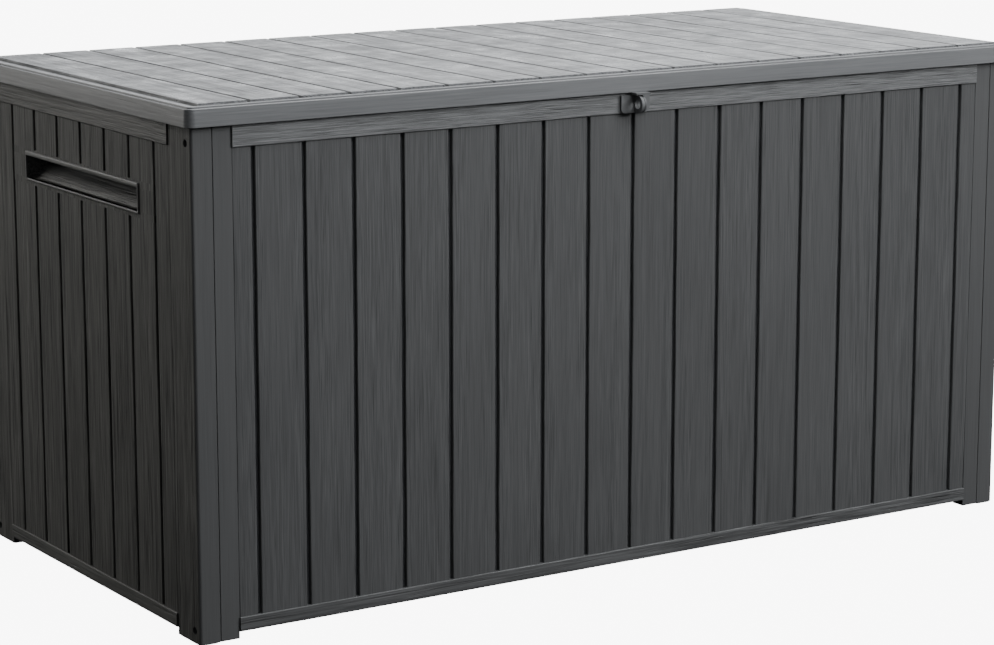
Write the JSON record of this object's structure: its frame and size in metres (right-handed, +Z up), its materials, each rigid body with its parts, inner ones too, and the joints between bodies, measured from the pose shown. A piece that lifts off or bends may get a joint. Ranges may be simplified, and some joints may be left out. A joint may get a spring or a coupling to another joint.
{
  "type": "deck storage box",
  "caption": "Lidded outdoor storage box with plank-pattern resin walls, recessed end handles, a padlock eye and a back-hinged lid on gas struts.",
  "frame": {"origin": "on the ground under the middle of the box, at the centre of the bottom of its bounding box", "axes": "+X to the right seen from the front, +Y to the back where the lid's hinges are, +Z up; the front with the padlock eye faces -Y"},
  "size_m": [1.582, 0.808, 0.813],
  "materials": {
    "wall_resin": "moulded wood grain, matt anthracite",
    "lid_resin": "moulded wood grain, satin anthracite",
    "inner_resin": "fine matt texture",
    "handle_resin": "matt with satin lip",
    "latch_resin": "satin",
    "latch_steel": "black powder coat",
    "black_steel": "black powder coat",
    "strut_paint": "semi-gloss black",
    "fitting_plastic": "matt black",
    "zinc_steel": "zinc plated",
    "galvanised_steel": "galvanised",
    "chrome": "ground and polished",
    "rubber": "matt"
  },
  "bodies": {
    "box": {"front_panel": "wall_resin", "back_panel": "wall_resin", "left_side_panel": "wall_resin", "right_side_panel": "wall_resin", "floor_panel": "inner_resin", "left_handle_cup": "handle_resin", "right_handle_cup": "handle_resin", "foot_pads": "rubber", "corner_screws": "zinc_steel", "floor_screws": "zinc_steel", "left_body_hinge": "black_steel", "middle_body_hinge": "black_steel", "right_body_hinge": "black_steel", "left_hinge_pin": "zinc_steel", "middle_hinge_pin": "zinc_steel", "right_hinge_pin": "zinc_steel", "body_hinge_screws": "zinc_steel", "latch_staple": "latch_resin", "latch_screws": "zinc_steel", "left_strut_anchor": "black_steel", "right_strut_anchor": "black_steel", "strut_anchor_screws": "zinc_steel"},
    "lid": {"lid_shell": "lid_resin", "lid_liner": "inner_resin", "lid_liner_screws": "zinc_steel", "front_lid_tube": "galvanised_steel", "rear_lid_tube": "galvanised_steel", "lid_bumpers": "rubber", "lid_hasp": "latch_steel", "hasp_rivets": "zinc_steel", "left_lid_hinge": "black_steel", "middle_lid_hinge": "black_steel", "right_lid_hinge": "black_steel", "lid_hinge_screws": "zinc_steel", "left_lid_bracket": "black_steel", "right_lid_bracket": "black_steel", "lid_bracket_screws": "zinc_steel"},
    "left_strut_cylinder": {"left_strut_tube": "strut_paint", "left_strut_gland": "rubber", "left_tube_eye": "fitting_plastic"},
    "left_strut_plunger": {"left_strut_rod": "chrome", "left_strut_piston": "rubber", "left_rod_eye": "fitting_plastic"},
    "right_strut_cylinder": {"right_strut_tube": "strut_paint", "right_strut_gland": "rubber", "right_tube_eye": "fitting_plastic"},
    "right_strut_plunger": {"right_strut_rod": "chrome", "right_strut_piston": "rubber", "right_rod_eye": "fitting_plastic"}
  },
  "joints": [
    {"name": "lid_hinge", "type": "hinge", "parent": "box", "child": "lid", "pos_m": [0, 0.392, 0.77], "axis": [-1, 0, 0], "range_deg": [0, 85], "stiffness_Nm_per_rad": 24, "springref_deg": 114.59},
    {"name": "left_strut_anchor_pivot", "type": "hinge", "parent": "box", "child": "left_strut_cylinder", "pos_m": [-0.734, 0.31435, 0.48022], "axis": [-1, 0, 0], "range_deg": [0, 43]},
    {"name": "left_strut_lid_pivot", "type": "hinge", "parent": "lid", "child": "left_strut_plunger", "pos_m": [-0.734, 0.09314, 0.74385], "axis": [1, 0, 0], "range_deg": [0, 43]},
    {"name": "right_strut_anchor_pivot", "type": "hinge", "parent": "box", "child": "right_strut_cylinder", "pos_m": [0.734, 0.31435, 0.48022], "axis": [-1, 0, 0], "range_deg": [0, 43]},
    {"name": "right_strut_lid_pivot", "type": "hinge", "parent": "lid", "child": "right_strut_plunger", "pos_m": [0.734, 0.09314, 0.74385], "axis": [1, 0, 0], "range_deg": [0, 43]}
  ],
  "couplings": [
    {"joint": "left_strut_anchor_pivot", "follows": "lid_hinge", "ratio": 0.5},
    {"joint": "left_strut_lid_pivot", "follows": "lid_hinge", "ratio": 0.5},
    {"joint": "right_strut_anchor_pivot", "follows": "lid_hinge", "ratio": 0.5},
    {"joint": "right_strut_lid_pivot", "follows": "lid_hinge", "ratio": 0.5}
  ]
}
